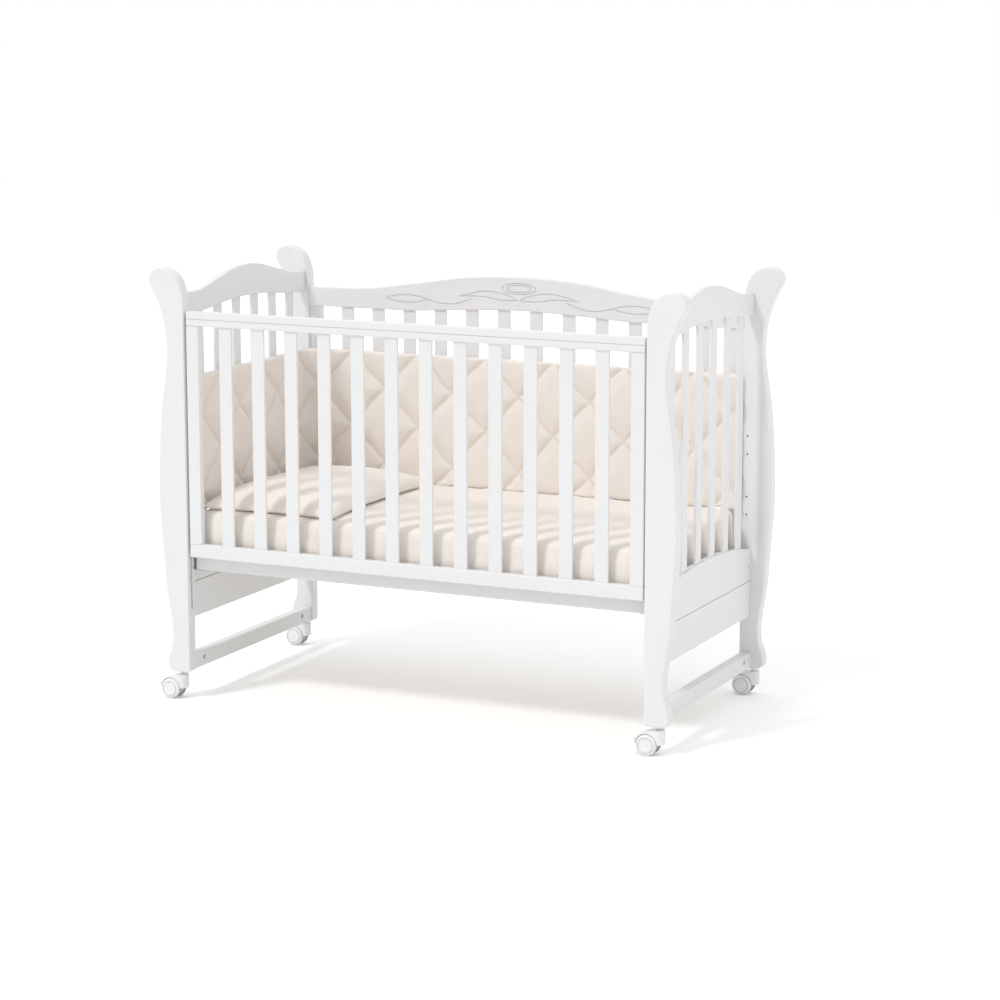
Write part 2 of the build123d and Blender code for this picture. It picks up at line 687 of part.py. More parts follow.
def hood(braked):
    """Caster hood about the wheel's centre."""
    solid = plate_xz(hood_profile(), -HOOD_HALF, HOOD_HALF)
    solid = solid & extrude(Pos(0, 0, -WHEEL_R) * hood_plan(), 2 * (WHEEL_R + HOOD_CREST))
    solid += rod((0, -HOOD_WEB, 0), "y", 2 * HOOD_WEB, 2 * AXLE_LUG_R)
    for start in (HOOD_WEB, -HOOD_WEB - HOOD_HALF):
        solid -= rod((0, start, 0), "y", HOOD_HALF, 2 * HOOD_CLEAR_R)
    solid -= rod((0, -HOOD_WEB - 1, 0), "y", 2 * HOOD_WEB + 2, AXLE_D)
    solid -= rod((TRAIL, 0, STEM_LOW - WHEEL_R - 1), "z", HOOD_CREST * 2, STEM_BORE_D)
    if braked:
        solid -= lever_slot()
        solid -= lever_pin()
    return solid


def lever_slot():
    """Slot in the hood's web for the lever's tongue."""
    x, z = LEVER_PIVOT
    return block((-TAB_R, x + LEVER_SLOT_ROOM), (-LEVER_SLOT, LEVER_SLOT), (LEVER_SLOT_LOW, z + LEVER_SLOT_ROOM))


def lever_pin():
    """Pin that the brake lever turns on."""
    x, z = LEVER_PIVOT
    return rod((x, -HOOD_WEB + 0.3, z), "y", 2 * HOOD_WEB - 0.6, LEVER_PIN_D)


def brake_lever():
    """Foot lever: tongue on the pin, pad behind the wheels and a tab."""
    x, z = LEVER_PIVOT
    half = TYRE_OUT_Y
    pad = ring_sector(LEVER_R, LEVER_DEG, half)
    tab = ring_sector((LEVER_R[1] - 1, TAB_R), TAB_DEG, half - TAB_INSET)
    middle = radians((3 * LEVER_DEG[0] + LEVER_DEG[1]) / 4)
    reach = sum(LEVER_R) / 2
    far = (reach * cos(middle), reach * sin(middle))
    rounds = Pos(x, z) * Circle(LEVER_EYE_R) + Pos(*far) * Circle(LEVER_TIP_R)
    tongue = make_hull(rounds.edges())
    lever = pad + tab + plate_xz(tongue, -LEVER_TONGUE, LEVER_TONGUE)
    return lever - rod((x, -LEVER_TONGUE - 1, z), "y", 2 * LEVER_TONGUE + 2, LEVER_PIN_BORE_D)


def wheel(sign):
    """White wheel body: core, domed face with a ring groove, and blind bore."""
    edges = Polyline((0, WHEEL_IN_Y), (TYRE_IN_R, WHEEL_IN_Y), (TYRE_IN_R, TYRE_OUT_Y),
                     (WHEEL_FACE_R, TYRE_OUT_Y), (WHEEL_FACE_R, RIM_OUT_Y))
    edges += ThreePointArc((WHEEL_FACE_R, RIM_OUT_Y), SHOULDER_MID, SHOULDER)
    edges += Polyline(SHOULDER, (RING_R[1], WHEEL_OUT_Y), (0, WHEEL_OUT_Y), (0, WHEEL_IN_Y))
    body = revolve(make_face(edges), Axis.Y)
    body -= rod((0, -AXLE_HALF - 0.5, 0), "y", 2 * AXLE_HALF + 1, AXLE_BORE_D)
    body -= plate_xz(Circle(RING_R[1]) - Circle(RING_R[0]), WHEEL_OUT_Y - RING_DEEP, WHEEL_OUT_Y + 1)
    return body if sign > 0 else mirror(body, Plane.XZ)


def tyre(sign):
    """Tread ring of one wheel."""
    faces = sorted((sign * WHEEL_IN_Y, sign * TYRE_OUT_Y))
    ring = Circle(WHEEL_R) - Circle(TYRE_IN_R)
    band = plate_xz(ring, *faces)
    rims = band.edges().filter_by(GeomType.CIRCLE).group_by(SortBy.RADIUS)[-1]
    return fillet(rims, 0.8)


def axle():
    """Steel axle of one caster."""
    return rod((0, -AXLE_HALF, 0), "y", 2 * AXLE_HALF, AXLE_D)


def stem():
    """Stem about its own axis: bar and flange under the post."""
    bar = rod((0, 0, STEM_LOW), "z", STEM_TOP - STEM_LOW, STEM_D)
    flange = rod((0, 0, FLANGE_LOW), "z", POST_BOTTOM - FLANGE_LOW, FLANGE_D)
    return bar + flange


def caster(braked):
    """Pieces of one caster by name, about its stem's axis on the floor."""
    to_wheel = Pos(-TRAIL, 0, WHEEL_R)
    pieces = {
        "stem": [stem()],
        "hood": [to_wheel * hood(braked)],
        "axle": [to_wheel * axle()],
        "wheels": [to_wheel * wheel(sign) for sign in (-1, 1)],
        "tyres": [to_wheel * tyre(sign) for sign in (-1, 1)],
    }
    if braked:
        pieces["brake_lever"] = [to_wheel * brake_lever()]
        pieces["lever_pin"] = [to_wheel * lever_pin()]
    return pieces


def wooden_nodes():
    """Posts, end panels and back panel by name."""
    nodes = {}
    for name, make in (("post_front", lambda: post(-1)), ("post_rear", lambda: post(1)),
                       ("end_top_rail", end_top_rail), ("end_upper_board", end_upper_board),
                       ("end_lower_board", end_lower_board), ("end_stretcher", end_stretcher)):
        right = make()
        nodes[name + "_right"] = [right]
        nodes[name + "_left"] = [mirror(right, Plane.YZ)]
    nodes["end_slats_right"] = end_slats()
    nodes["end_slats_left"] = [mirror(bar, Plane.YZ) for bar in end_slats()]
    nodes["back_top_rail"] = [back_top_rail()]
    nodes["back_slats"] = back_slats()
    nodes["back_bottom_rail"] = [back_bottom_rail()]
    nodes["frame_dowels"] = ALL_DOWELS
    return nodes


def inner_nodes():
    """Drop side, mattress base and bedding by name."""
    stile = drop_stile()
    return {
        "drop_top_rail": [drop_top_rail()],
        "drop_bottom_rail": [drop_rail(LOW_RAIL_Z)],
        "drop_stile_right": [stile],
        "drop_stile_left": [mirror(stile, Plane.YZ)],
        "drop_slats": drop_slats(),
        "drop_guide_pins": guide_pins(),
        "base_front_rail": [base_side_rail(-1)],
        "base_back_rail": [base_side_rail(1)],
        "base_cross_rails": both_sides([base_cross_rail()]),
        "base_slats": base_slats(),
        "base_brackets": both_sides(brackets()),
        "base_screws": both_sides(rail_screws() + board_screws()),
        "mattress": [mattress()],
        "pillow": [pillow()],
        "bumper_left": [bumper_left()],
        "bumper_back": [bumper_back()],
    }


def caster_nodes():
    """All four casters by name; the front two have brakes."""
    nodes = {}
    for side, sign_x in (("left", -1), ("right", 1)):
        for row, sign_y in (("front", -1), ("rear", 1)):
            place = Pos(sign_x * STEM_X, sign_y * POST_Y, 0)
            for name, solids in caster(row == "front").items():
                nodes[f"caster_{row}_{side}_{name}"] = [place * solid for solid in solids]
    return nodes


def main():
    """Write every node to its own file."""
    os.makedirs("parts", exist_ok=True)
    nodes = {**wooden_nodes(), **inner_nodes(), **caster_nodes()}
    for name, solids in nodes.items():
        flat = [piece for solid in solids for piece in solid.solids()]
        shape = flat[0] if len(flat) == 1 else Compound(children=flat)
        shape.label = name
        export_step(shape, f"parts/{name}.step")
        box = shape.bounding_box()
        print(name, len(flat), [round(v, 1) for v in (*box.min, *box.max)])


main()
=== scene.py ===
"""Looks of a white crib with a drop side: paint, bedding, casters and studio."""
from __future__ import annotations

import logging
import math
from dataclasses import dataclass, field
from enum import Enum
from typing import Iterable, Sequence

import bpy
import numpy as np
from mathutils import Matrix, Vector


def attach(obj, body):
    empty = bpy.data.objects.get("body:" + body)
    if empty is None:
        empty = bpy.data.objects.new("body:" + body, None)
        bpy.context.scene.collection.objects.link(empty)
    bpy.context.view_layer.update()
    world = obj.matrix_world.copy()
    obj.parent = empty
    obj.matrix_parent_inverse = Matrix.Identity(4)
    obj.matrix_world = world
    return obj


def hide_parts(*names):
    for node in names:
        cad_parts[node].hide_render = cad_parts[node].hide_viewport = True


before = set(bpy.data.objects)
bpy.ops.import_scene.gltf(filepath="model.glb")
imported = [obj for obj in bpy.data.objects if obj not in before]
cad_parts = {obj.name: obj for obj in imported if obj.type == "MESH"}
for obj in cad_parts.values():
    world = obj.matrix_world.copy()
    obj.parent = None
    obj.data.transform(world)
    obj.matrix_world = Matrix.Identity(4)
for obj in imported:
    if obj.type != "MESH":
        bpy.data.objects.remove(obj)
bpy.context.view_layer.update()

logging.basicConfig(level=logging.INFO, format="%(message)s")
log = logging.getLogger("crib")

Point = tuple[float, float, float]
Colour = tuple[float, float, float]
Wave = tuple[float, float, float]

WHITE = (1.0, 1.0, 1.0, 1.0)
THREAD_SIDES = 6


class Band(Enum):
    """Which way the threads or the grain run across a piece."""

    ALONG_X = "X"
    ALONG_Y = "Y"
    ALONG_Z = "Z"


class Body(Enum):
    """Bodies of the frame that the soft pieces ride on."""

    FRAME = "frame"


class Socket:
    """Output of a shader node that takes part in Python arithmetic."""

    def __init__(self, tree: "NodeTree", link: bpy.types.NodeSocket) -> None:
        """Keeps the tree and the socket.

        Args:
            tree: the tree that new Math nodes go into.
            link: the node's output socket.
        """
        self.tree = tree
        self.link = link

    def _maths(self, operation: str, first: "Value", second: "Value") -> "Socket":
        """Adds one Math node.

        Args:
            operation: the node's operation.
            first: first value or socket.
            second: second value or socket.

        Returns:
            The node's result.
        """
        return self.tree.node("ShaderNodeMath", {"operation": operation}, {0: first, 1: second})[0]

    def __add__(self, other: "Value") -> "Socket":
        """Sum."""
        return self._maths("ADD", self, other)

    def __radd__(self, other: "Value") -> "Socket":
        """Sum with a number on the left."""
        return self._maths("ADD", other, self)

    def __sub__(self, other: "Value") -> "Socket":
        """Difference."""
        return self._maths("SUBTRACT", self, other)

    def __rsub__(self, other: "Value") -> "Socket":
        """Difference from a number on the left."""
        return self._maths("SUBTRACT", other, self)

    def __mul__(self, other: "Value") -> "Socket":
        """Product."""
        return self._maths("MULTIPLY", self, other)

    def __rmul__(self, other: "Value") -> "Socket":
        """Product with a number on the left."""
        return self._maths("MULTIPLY", other, self)


Value = float | Socket


class NodeTree:
    """Node tree of a material or the world, filled through one method."""

    def __init__(self, owner: bpy.types.Material | bpy.types.World) -> None:
        """Empties the owner's tree.

        Args:
            owner: the material or the world.
        """
        self.owner = owner
        owner.use_nodes = True
        self.tree = owner.node_tree
        self.tree.nodes.clear()

    @classmethod
    def finish(cls, name: str) -> "NodeTree":
        """Tree of a new material."""
        return cls(bpy.data.materials.new(name))

    def node(self, kind: str, settings: dict[str, object] | None = None,
             inputs: dict[object, object] | None = None) -> list[Socket]:
        """Adds one node.

        Args:
            kind: the node's type name.
            settings: values set before any socket; "stops" fills a colour ramp.
            inputs: socket name or number to a number, colour, vector or socket.

        Returns:
            The node's outputs in order.
        """
        made = self.tree.nodes.new(kind)
        for key, value in (settings or {}).items():
            if key == "stops":
                self._stops(made.color_ramp, value)
            else:
                setattr(made, key, value)
        for key, value in (inputs or {}).items():
            if isinstance(value, Socket):
                self.tree.links.new(value.link, made.inputs[key])
            else:
                made.inputs[key].default_value = value
        return [Socket(self, out) for out in made.outputs]

    @staticmethod
    def _stops(ramp: bpy.types.ColorRamp, stops: Sequence[tuple[float, Colour]]) -> None:
        """Sets a colour ramp's stops.

        Args:
            ramp: the ramp, with two stops to begin with.
            stops: places and colours, from low to high.
        """
        while len(ramp.elements) < len(stops):
            ramp.elements.new(0.5)
        for element, (place, colour) in zip(ramp.elements, stops):
            element.position = place
            element.color = (*colour, 1.0)

    def place(self) -> Socket:
        """Object coordinates of the piece."""
        return self.node("ShaderNodeTexCoord")[3]

    def stretched(self, scale: Point) -> Socket:
        """Object coordinates with a scale for each axis.

        Args:
            scale: scale along X, Y and Z.

        Returns:
            The scaled vector.
        """
        return self.node("ShaderNodeMapping", {}, {"Vector": self.place(), "Scale": scale})[0]

    def noise(self, vector: Socket, scale: float, detail: float = 3.0) -> Socket:
        """Noise from 0 to 1 about a half.

        Args:
            vector: where to read it.
            scale: features per metre.
            detail: octaves.

        Returns:
            The noise's value.
        """
        inputs = {"Vector": vector, "Scale": scale, "Detail": detail}
        return self.node("ShaderNodeTexNoise", {}, inputs)[0]

    def blend(self, factor: Value, first: object, second: object) -> Socket:
        """Mixes two colours.

        Args:
            factor: 0 for the first, 1 for the second.
            first: colour with alpha, or a socket.
            second: colour with alpha, or a socket.

        Returns:
            The mixed colour.
        """
        inputs = {0: factor, 6: first, 7: second}
        return self.node("ShaderNodeMix", {"data_type": "RGBA"}, inputs)[2]

    def bump(self, height: Socket, strength: float, distance: float) -> Socket:
        """Normal from a height.

        Args:
            height: the height's value.
            strength: how strong the relief is.
            distance: metres of relief for a height of 1.

        Returns:
            The normal.
        """
        inputs = {"Height": height, "Strength": strength, "Distance": distance}
        return self.node("ShaderNodeBump", {}, inputs)[0]

    def surface(self, inputs: dict[object, object]) -> bpy.types.Material:
        """Ends the tree in a Principled surface.

        Args:
            inputs: the shader's sockets.

        Returns:
            The finished material.
        """
        shader = self.node("ShaderNodeBsdfPrincipled", {}, inputs)[0]
        self.node("ShaderNodeOutputMaterial", {}, {"Surface": shader})
        return self.owner


def opaque(colour: Colour, factor: float = 1.0) -> tuple[float, float, float, float]:
    """Colour with alpha, brightened or dimmed."""
    return (*(min(1.0, part * factor) for part in colour), 1.0)


@dataclass(frozen=True)
class Paint:
    """Sprayed satin paint on board: even, with a faint orange peel."""

    name: str
    colour: Colour
    roughness: float = 0.42
    peel: float = 0.00006

    def material(self) -> bpy.types.Material:
        """Builds the paint's material."""
        tree = NodeTree.finish(self.name)
        place = tree.place()
        cloud = tree.noise(place, scale=9.0, detail=2.0)
        fine = tree.noise(place, scale=700.0, detail=2.0)
        colour = tree.blend(cloud, opaque(self.colour, 0.985), opaque(self.colour, 1.012))
        rough = self.roughness + (tree.noise(place, scale=60.0) - 0.5) * 0.12
        height = fine + tree.noise(place, scale=160.0) * 0.6
        normal = tree.bump(height, strength=0.35, distance=self.peel)
        return tree.surface({"Base Color": colour, "Roughness": rough, "Normal": normal,
                             "Coat Weight": 0.12, "Coat Roughness": 0.3,
                             "Specular IOR Level": 0.45})


@dataclass(frozen=True)
class Timber:
    """Bare pale hardwood with long grain."""

    name: str
    light: Colour
    dark: Colour
    grain: Band
    long: float = 3.0
    across: float = 90.0

    def material(self) -> bpy.types.Material:
        """Builds the timber's material."""
        tree = NodeTree.finish(self.name)
        fine = tuple(self.long if band is self.grain else self.across for band in Band)
        wide = tuple(part / 6 for part in fine)
        grain = tree.noise(tree.stretched(fine), scale=2.6, detail=6.0)
        growth = tree.noise(tree.stretched(wide), scale=2.0, detail=3.0)
        mask = grain * 0.6 + growth * 0.5
        late = tuple(part * 0.92 for part in self.light)
        stops = [(0.3, self.dark), (0.52, self.light), (0.75, late)]
        colour = tree.node("ShaderNodeValToRGB", {"stops": stops}, {0: mask})[0]
        rough = 0.5 + grain * 0.2
        normal = tree.bump(grain, strength=0.3, distance=0.0002)
        return tree.surface({"Base Color": colour, "Roughness": rough, "Normal": normal})


@dataclass(frozen=True)
class Metal:
    """Plated or rolled steel with fine scratches."""

    name: str
    colour: Colour
    roughness: float

    def material(self) -> bpy.types.Material:
        """Builds the metal's material."""
        tree = NodeTree.finish(self.name)
        scratch = tree.noise(tree.stretched((60.0, 60.0, 900.0)), scale=3.0, detail=4.0)
        dull = tree.noise(tree.place(), scale=120.0)
        colour = tree.blend(dull, opaque(self.colour, 0.9), opaque(self.colour, 1.05))
        rough = self.roughness + (scratch - 0.5) * 0.2
        normal = tree.bump(scratch, strength=0.2, distance=0.00004)
        return tree.surface({"Base Color": colour, "Metallic": 1.0, "Roughness": rough,
                             "Normal": normal})


@dataclass(frozen=True)
class Moulding:
    """Moulded plastic or tread with a fine spark-eroded grain."""

    name: str
    colour: Colour
    roughness: float
    grain: float

    def material(self) -> bpy.types.Material:
        """Builds the moulding's material."""
        tree = NodeTree.finish(self.name)
        place = tree.place()
        pits = tree.noise(place, scale=1600.0, detail=3.0)
        flow = tree.noise(place, scale=45.0, detail=2.0)
        colour = tree.blend(flow, opaque(self.colour, 0.94), opaque(self.colour, 1.05))
        rough = self.roughness + (flow - 0.5) * 0.14
        normal = tree.bump(pits, strength=0.35, distance=self.grain)
        return tree.surface({"Base Color": colour, "Roughness": rough, "Normal": normal})


@dataclass(frozen=True)
class Cotton:
    """Plain woven cotton with a soft sheen."""

    name: str
    colour: Colour
    threads: float = 1100.0
    sheen: float = 0.25
    rumple: float = 0.0024
    weave: float = 0.00012

    def material(self) -> bpy.types.Material:
        """Builds the cloth's material."""
        tree = NodeTree.finish(self.name)
        place = tree.place()
        waves = [self._threads(tree, place, band) for band in Band]
        weave = waves[0] + waves[1] + waves[2]
        cloud = tree.noise(place, scale=14.0, detail=3.0)
        slub = tree.noise(tree.stretched((30.0, 400.0, 30.0)), scale=1.0, detail=2.0)
        tone = cloud * 0.6 + slub * 0.2 + weave * 0.06
        colour = tree.blend(tone, opaque(self.colour, 0.95), opaque(self.colour, 1.05))
        folds = tree.noise(place, scale=26.0, detail=2.0)
        folded = tree.bump(folds, strength=0.5, distance=self.rumple)
        inputs = {"Height": weave, "Strength": 0.4, "Distance": self.weave, "Normal": folded}
        normal = tree.node("ShaderNodeBump", {}, inputs)[0]
        rough = 0.82 + (cloud - 0.5) * 0.1
        return tree.surface({"Base Color": colour, "Roughness": rough, "Normal": normal,
                             "Sheen Weight": self.sheen, "Sheen Roughness": 0.5,
                             "Specular IOR Level": 0.2})

    def _threads(self, tree: NodeTree, place: Socket, band: Band) -> Socket:
        """Fine bands for threads across one axis.

        Args:
            tree: the material's tree.
            place: object coordinates.
            band: the axis.

        Returns:
            The bands' value.
        """
        settings = {"wave_type": "BANDS", "bands_direction": band.value}
        inputs = {"Vector": place, "Scale": self.threads / 6.3, "Distortion": 0.4, "Detail": 1.0}
        return tree.node("ShaderNodeTexWave", settings, inputs)[1]


@dataclass(frozen=True)
class Palette:
    """Every finish on the crib."""

    paint: Paint = Paint("white_satin_paint", (0.80, 0.80, 0.802))
    slats: Timber = Timber("bare_birch_across", light=(0.84, 0.78, 0.69), dark=(0.73, 0.65, 0.54),
                           grain=Band.ALONG_Y)
    dowels: Timber = Timber("beech_dowel", light=(0.76, 0.6, 0.42), dark=(0.6, 0.43, 0.27),
                            grain=Band.ALONG_X)
    bright: Metal = Metal("bright_steel", (0.72, 0.72, 0.73), roughness=0.22)
    zinc: Metal = Metal("zinc_plate", (0.6, 0.61, 0.62), roughness=0.38)
    nylon: Moulding = Moulding("white_nylon", (0.86, 0.86, 0.855), roughness=0.3, grain=0.00003)
    tread: Moulding = Moulding("grey_tread", (0.36, 0.36, 0.365), roughness=0.6, grain=0.00006)
    bumper: Cotton = Cotton("cream_quilted_cotton", (0.845, 0.785, 0.73))
    sheet: Cotton = Cotton("cream_sheet", (0.88, 0.825, 0.775), sheen=0.15)
    pillow: Cotton = Cotton("cream_pillowcase", (0.88, 0.825, 0.775), sheen=0.15)
    thread: Cotton = Cotton("quilting_thread", (0.74, 0.66, 0.6), threads=4000.0)


class Dresser:
    """Gives the carried-over CAD nodes their finishes."""

    def __init__(self, palette: Palette) -> None:
        """Builds the materials that the nodes share.

        Args:
            palette: the crib's finishes.
        """
        self.paint = palette.paint.material()
        groups = (
            (palette.slats, ("base_slats", "base_cross_rails")),
            (palette.dowels, ("frame_dowels",)),
            (palette.zinc, ("base_brackets", "base_screws")),
            (palette.bright, ("guide_pins", "_stem", "_axle", "_lever_pin")),
            (palette.nylon, ("_hood", "_wheels", "_brake_lever")),
            (palette.tread, ("_tyres",)),
        )
        self.by_word: dict[str, bpy.types.Material] = {}
        for finish, words in groups:
            self.by_word.update(dict.fromkeys(words, finish.material()))

    def dress(self, name: str, piece: bpy.types.Object) -> None:
        """Puts one finish on a node.

        Args:
            name: the node's name.
            piece: its object.
        """
        finish = self.paint
        for word, material in self.by_word.items():
            if word in name:
                finish = material
        piece.data.materials.clear()
        piece.data.materials.append(finish)


def mesh_piece(name: str, points: np.ndarray, faces: Sequence[Sequence[int]],
               edges: Sequence[tuple[int, int]] = ()) -> bpy.types.Object:
    """Links a new mesh object at the origin.

    Args:
        name: the piece's name.
        points: vertices in metres.
        faces: vertex numbers of each face.
        edges: loose edges, for lines.

    Returns:
        The object.
    """
    mesh = bpy.data.meshes.new(name)
    corners = [tuple(point) for point in points]
    mesh.from_pydata(corners, list(edges), [tuple(face) for face in faces])
    mesh.update()
    piece = bpy.data.objects.new(name, mesh)
    bpy.context.scene.collection.objects.link(piece)
    return piece


def points_of(mesh: bpy.types.Mesh) -> np.ndarray:
    """Vertices of a mesh as rows."""
    flat = np.empty(len(mesh.vertices) * 3)
    mesh.vertices.foreach_get("co", flat)
    return flat.reshape(-1, 3)


def set_points(mesh: bpy.types.Mesh, points: np.ndarray) -> None:
    """Writes a mesh's vertices back."""
    mesh.vertices.foreach_set("co", points.astype(np.float32).ravel())
    mesh.update()


def smooth(mesh: bpy.types.Mesh) -> None:
    """Shades every face smoothly."""
    mesh.polygons.foreach_set("use_smooth", [True] * len(mesh.polygons))
    mesh.update()


def baked(piece: bpy.types.Object) -> None:
    """Turns a piece's modifiers into its mesh."""
    graph = bpy.context.evaluated_depsgraph_get()
    made = bpy.data.meshes.new_from_object(piece.evaluated_get(graph), depsgraph=graph)
    piece.modifiers.clear()
    old = piece.data
    piece.data = made
    made.name = piece.name
    bpy.data.meshes.remove(old)


def subdivided(piece: bpy.types.Object, levels: int = 1) -> None:
    """Rounds a piece with applied subdivision.

    Args:
        piece: the piece.
        levels: how many times each face is divided.
    """
    rounding = piece.modifiers.new("rounding", "SUBSURF")
    rounding.levels = levels
    rounding.render_levels = levels
    baked(piece)
    smooth(piece.data)


@dataclass(frozen=True)
class Stuffing:
    """Settings of one cloth simulation that fills a sewn cover."""

    pressure: float
    cap: float
    slack: float = 0.0
    frames: int = 20
    bending: float = 0.5
    tension: float = 15.0
    shear: float = 5.0
    mass: float = 0.3
    steps: int = 4

    def fill(self, piece: bpy.types.Object, sewn: Iterable[int]) -> None:
        """Inflates a cover and applies the result, with a cap on each point's travel.

        Args:
            piece: the cover.
            sewn: numbers of the vertices that stay where they are.
        """
        start = points_of(piece.data)
        group = piece.vertex_groups.new(name="sewn")
        group.add([int(number) for number in sewn], 1.0, "REPLACE")
        cloth = piece.modifiers.new("stuffing", "CLOTH")
        settings = cloth.settings
        settings.quality = self.steps
        settings.mass = self.mass
        settings.use_pressure = True
        settings.uniform_pressure_force = self.pressure
        settings.effector_weights.gravity = 0.0
        settings.tension_stiffness = self.tension
        settings.compression_stiffness = self.tension
        settings.shear_stiffness = self.shear
        settings.bending_stiffness = self.bending
        settings.shrink_min = -self.slack
        settings.vertex_group_mass = "sewn"
        cloth.point_cache.frame_start = 1
        cloth.point_cache.frame_end = self.frames
        scene = bpy.context.scene
        for number in range(1, self.frames + 1):
            scene.frame_set(number)
        graph = bpy.context.evaluated_depsgraph_get()
        filled = points_of(piece.evaluated_get(graph).data)
        piece.modifiers.remove(cloth)
        piece.vertex_groups.clear()
        scene.frame_set(1)
        travel = filled - start
        length = np.linalg.norm(travel, axis=1, keepdims=True)
        limit = self.cap * np.tanh(length / self.cap) / np.maximum(length, 1e-9)
        set_points(piece.data, start + travel * limit)


class Stitches:
    """Rows of stitches along lines, made by Geometry Nodes."""

    def __init__(self, finish: bpy.types.Material, length: float = 0.0032, pitch: float = 0.0055,
                 radius: float = 0.00045) -> None:
        """Builds the node group once.

        Args:
            finish: the thread's material.
            length: length of a stitch.
            pitch: distance from one stitch to the next.
            radius: half the thread's thickness.
        """
        self.finish = finish
        self.sizes = {"Length": length, "Pitch": pitch, "Radius": radius}
        self.group = bpy.data.node_groups.new("stitch_rows", "GeometryNodeTree")
        self.sockets: dict[str, str] = {}
        self._fill()

    def _input(self, name: str, kind: str) -> None:
        """Adds a named input to the group and keeps its identifier."""
        made = self.group.interface.new_socket(name, in_out="INPUT", socket_type=kind)
        self.sockets[name] = made.identifier

    def _add(self, kind: str, inputs: dict[object, object],
             settings: dict[str, object] | None = None) -> bpy.types.Node:
        """Adds a geometry node.

        Args:
            kind: the node's type.
            inputs: socket to value or output socket.
            settings: values set first.

        Returns:
            The node.
        """
        made = self.group.nodes.new(kind)
        for key, value in (settings or {}).items():
            setattr(made, key, value)
        for key, value in inputs.items():
            if isinstance(value, bpy.types.NodeSocket):
                self.group.links.new(value, made.inputs[key])
            else:
                made.inputs[key].default_value = value
        return made

    def _fill(self) -> None:
        """Lines to curves, evenly spaced points, and one small thread bead on each."""
        self._input("Lines", "NodeSocketGeometry")
        for name in self.sizes:
            self._input(name, "NodeSocketFloat")
        self._input("Thread", "NodeSocketMaterial")
        self.group.interface.new_socket("Geometry", in_out="OUTPUT",
                                        socket_type="NodeSocketGeometry")
        given = self.group.nodes.new("NodeGroupInput").outputs
        curve = self._add("GeometryNodeMeshToCurve", {0: given["Lines"]}).outputs[0]
        points = self._add("GeometryNodeCurveToPoints", {"Curve": curve, "Length": given["Pitch"]},
                           {"mode": "LENGTH"})
        bead = self._add("GeometryNodeMeshCylinder",
                         {"Vertices": THREAD_SIDES, "Radius": given["Radius"],
                          "Depth": given["Length"]}).outputs[0]
        rows = self._add("GeometryNodeInstanceOnPoints",
                         {"Points": points.outputs["Points"], "Instance": bead,
                          "Rotation": points.outputs["Rotation"]}).outputs[0]
        real = self._add("GeometryNodeRealizeInstances", {0: rows}).outputs[0]
        done = self._add("GeometryNodeSetMaterial",
                         {"Geometry": real, "Material": given["Thread"]}).outputs[0]
        end = self.group.nodes.new("NodeGroupOutput")
        self.group.links.new(done, end.inputs[0])

    def sew(self, name: str, rows: Sequence[np.ndarray]) -> bpy.types.Object:
        """Makes the stitches along some lines.

        Args:
            name: the piece's name.
            rows: points of each line, in metres.

        Returns:
            The stitches as one plain mesh.
        """
        edges: list[tuple[int, int]] = []
        start = 0
        for row in rows:
            edges += [(start + i, start + i + 1) for i in range(len(row) - 1)]
            start += len(row)
        piece = mesh_piece(name, np.concatenate(rows), [], edges)
        rowing = piece.modifiers.new("rows", "NODES")
        rowing.node_group = self.group
        for key, value in self.sizes.items():
            rowing[self.sockets[key]] = value
        rowing[self.sockets["Thread"]] = self.finish
        baked(piece)
        return piece


def rim_rounding(away: np.ndarray, radius: float) -> np.ndarray:
    """Share of the full thickness at a distance from a rounded rim.

    Args:
        away: distances from the rim.
        radius: the rim's radius.

    Returns:
        0 on the rim and 1 beyond the radius.
    """
    return np.sqrt(np.clip(1 - (1 - np.clip(away / radius, 0, 1)) ** 2, 0, 1))


def shell_faces(number: np.ndarray, twin: np.ndarray, split: np.ndarray) -> list[list[int]]:
    """Faces of a cover sewn from two sheets of one grid.

    Args:
        number: vertex number of each grid point on the first sheet.
        twin: the same for the second sheet, shared at the rim.
        split: for each cell 0 for a quad, 1 or 2 for a diagonal.

    Returns:
        The faces of both sheets.
    """
    faces: list[list[int]] = []
    for sheet, turned in ((number, False), (twin, True)):
        for a in range(number.shape[0] - 1):
            for b in range(number.shape[1] - 1):
                p, q = int(sheet[a, b]), int(sheet[a + 1, b])
                s, r = int(sheet[a, b + 1]), int(sheet[a + 1, b + 1])
                made = [[p, s, r, q]]
                if split[a, b] == 1:
                    made = [[p, r, q], [p, s, r]]
                elif split[a, b] == 2:
                    made = [[p, s, q], [q, s, r]]
                faces += [face[::-1] for face in made] if turned else made
    return faces


def sewn_shell(name: str, first: np.ndarray, second: np.ndarray,
               split: np.ndarray) -> bpy.types.Object:
    """Two sheets of one grid, joined along their rim.

    Args:
        name: the piece's name.
        first: points of the first sheet, rows by columns by 3.
        second: points of the second sheet.
        split: how each cell is divided.

    Returns:
        The closed cover.
    """
    number = np.arange(first[..., 0].size).reshape(first.shape[:2])
    inner = np.zeros(number.shape, bool)
    inner[1:-1, 1:-1] = True
    twin = number.copy()
    twin[inner] = number.size + np.arange(int(inner.sum()))
    points = np.concatenate([first.reshape(-1, 3), second[inner]])
    return mesh_piece(name, points, shell_faces(number, twin, split))


def drift(first: np.ndarray, second: np.ndarray, waves: Sequence[Wave]) -> np.ndarray:
    """Sum of sine waves over a plane.

    Args:
        first: place along the first direction, in metres.
        second: place along the second direction.
        waves: size of each wave, and its pace in each direction.

    Returns:
        The sum at each place.
    """
    return sum(size * np.sin(first * one + second * two) for size, one, two in waves)


